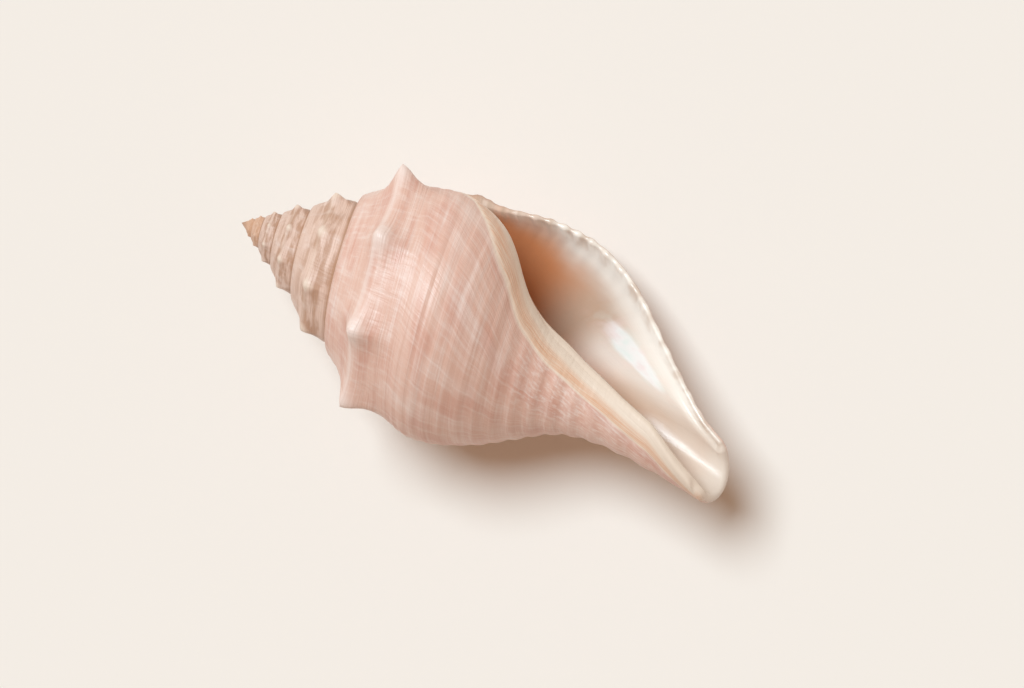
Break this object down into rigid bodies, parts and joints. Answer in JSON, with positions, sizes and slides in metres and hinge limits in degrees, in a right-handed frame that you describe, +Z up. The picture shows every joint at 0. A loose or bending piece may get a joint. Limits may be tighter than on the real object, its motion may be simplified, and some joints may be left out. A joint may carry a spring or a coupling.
{
  "type": "conch shell",
  "caption": "Right-handed coiled sea shell with a knobbed shoulder, pointed spire, open mouth and drawn-out siphonal canal, lying free.",
  "frame": {"origin": "under the middle of the shell's box, on the surface it lies on", "axes": "+Z up from the surface, +X along the shell from the spire to the end of the siphonal canal"},
  "size_m": [0.165, 0.077, 0.0792],
  "materials": {
    "shell": "satin pink and cream shell, pearly inside the mouth"
  },
  "bodies": {
    "root": {"shell": "shell"}
  },
  "joints": []
}
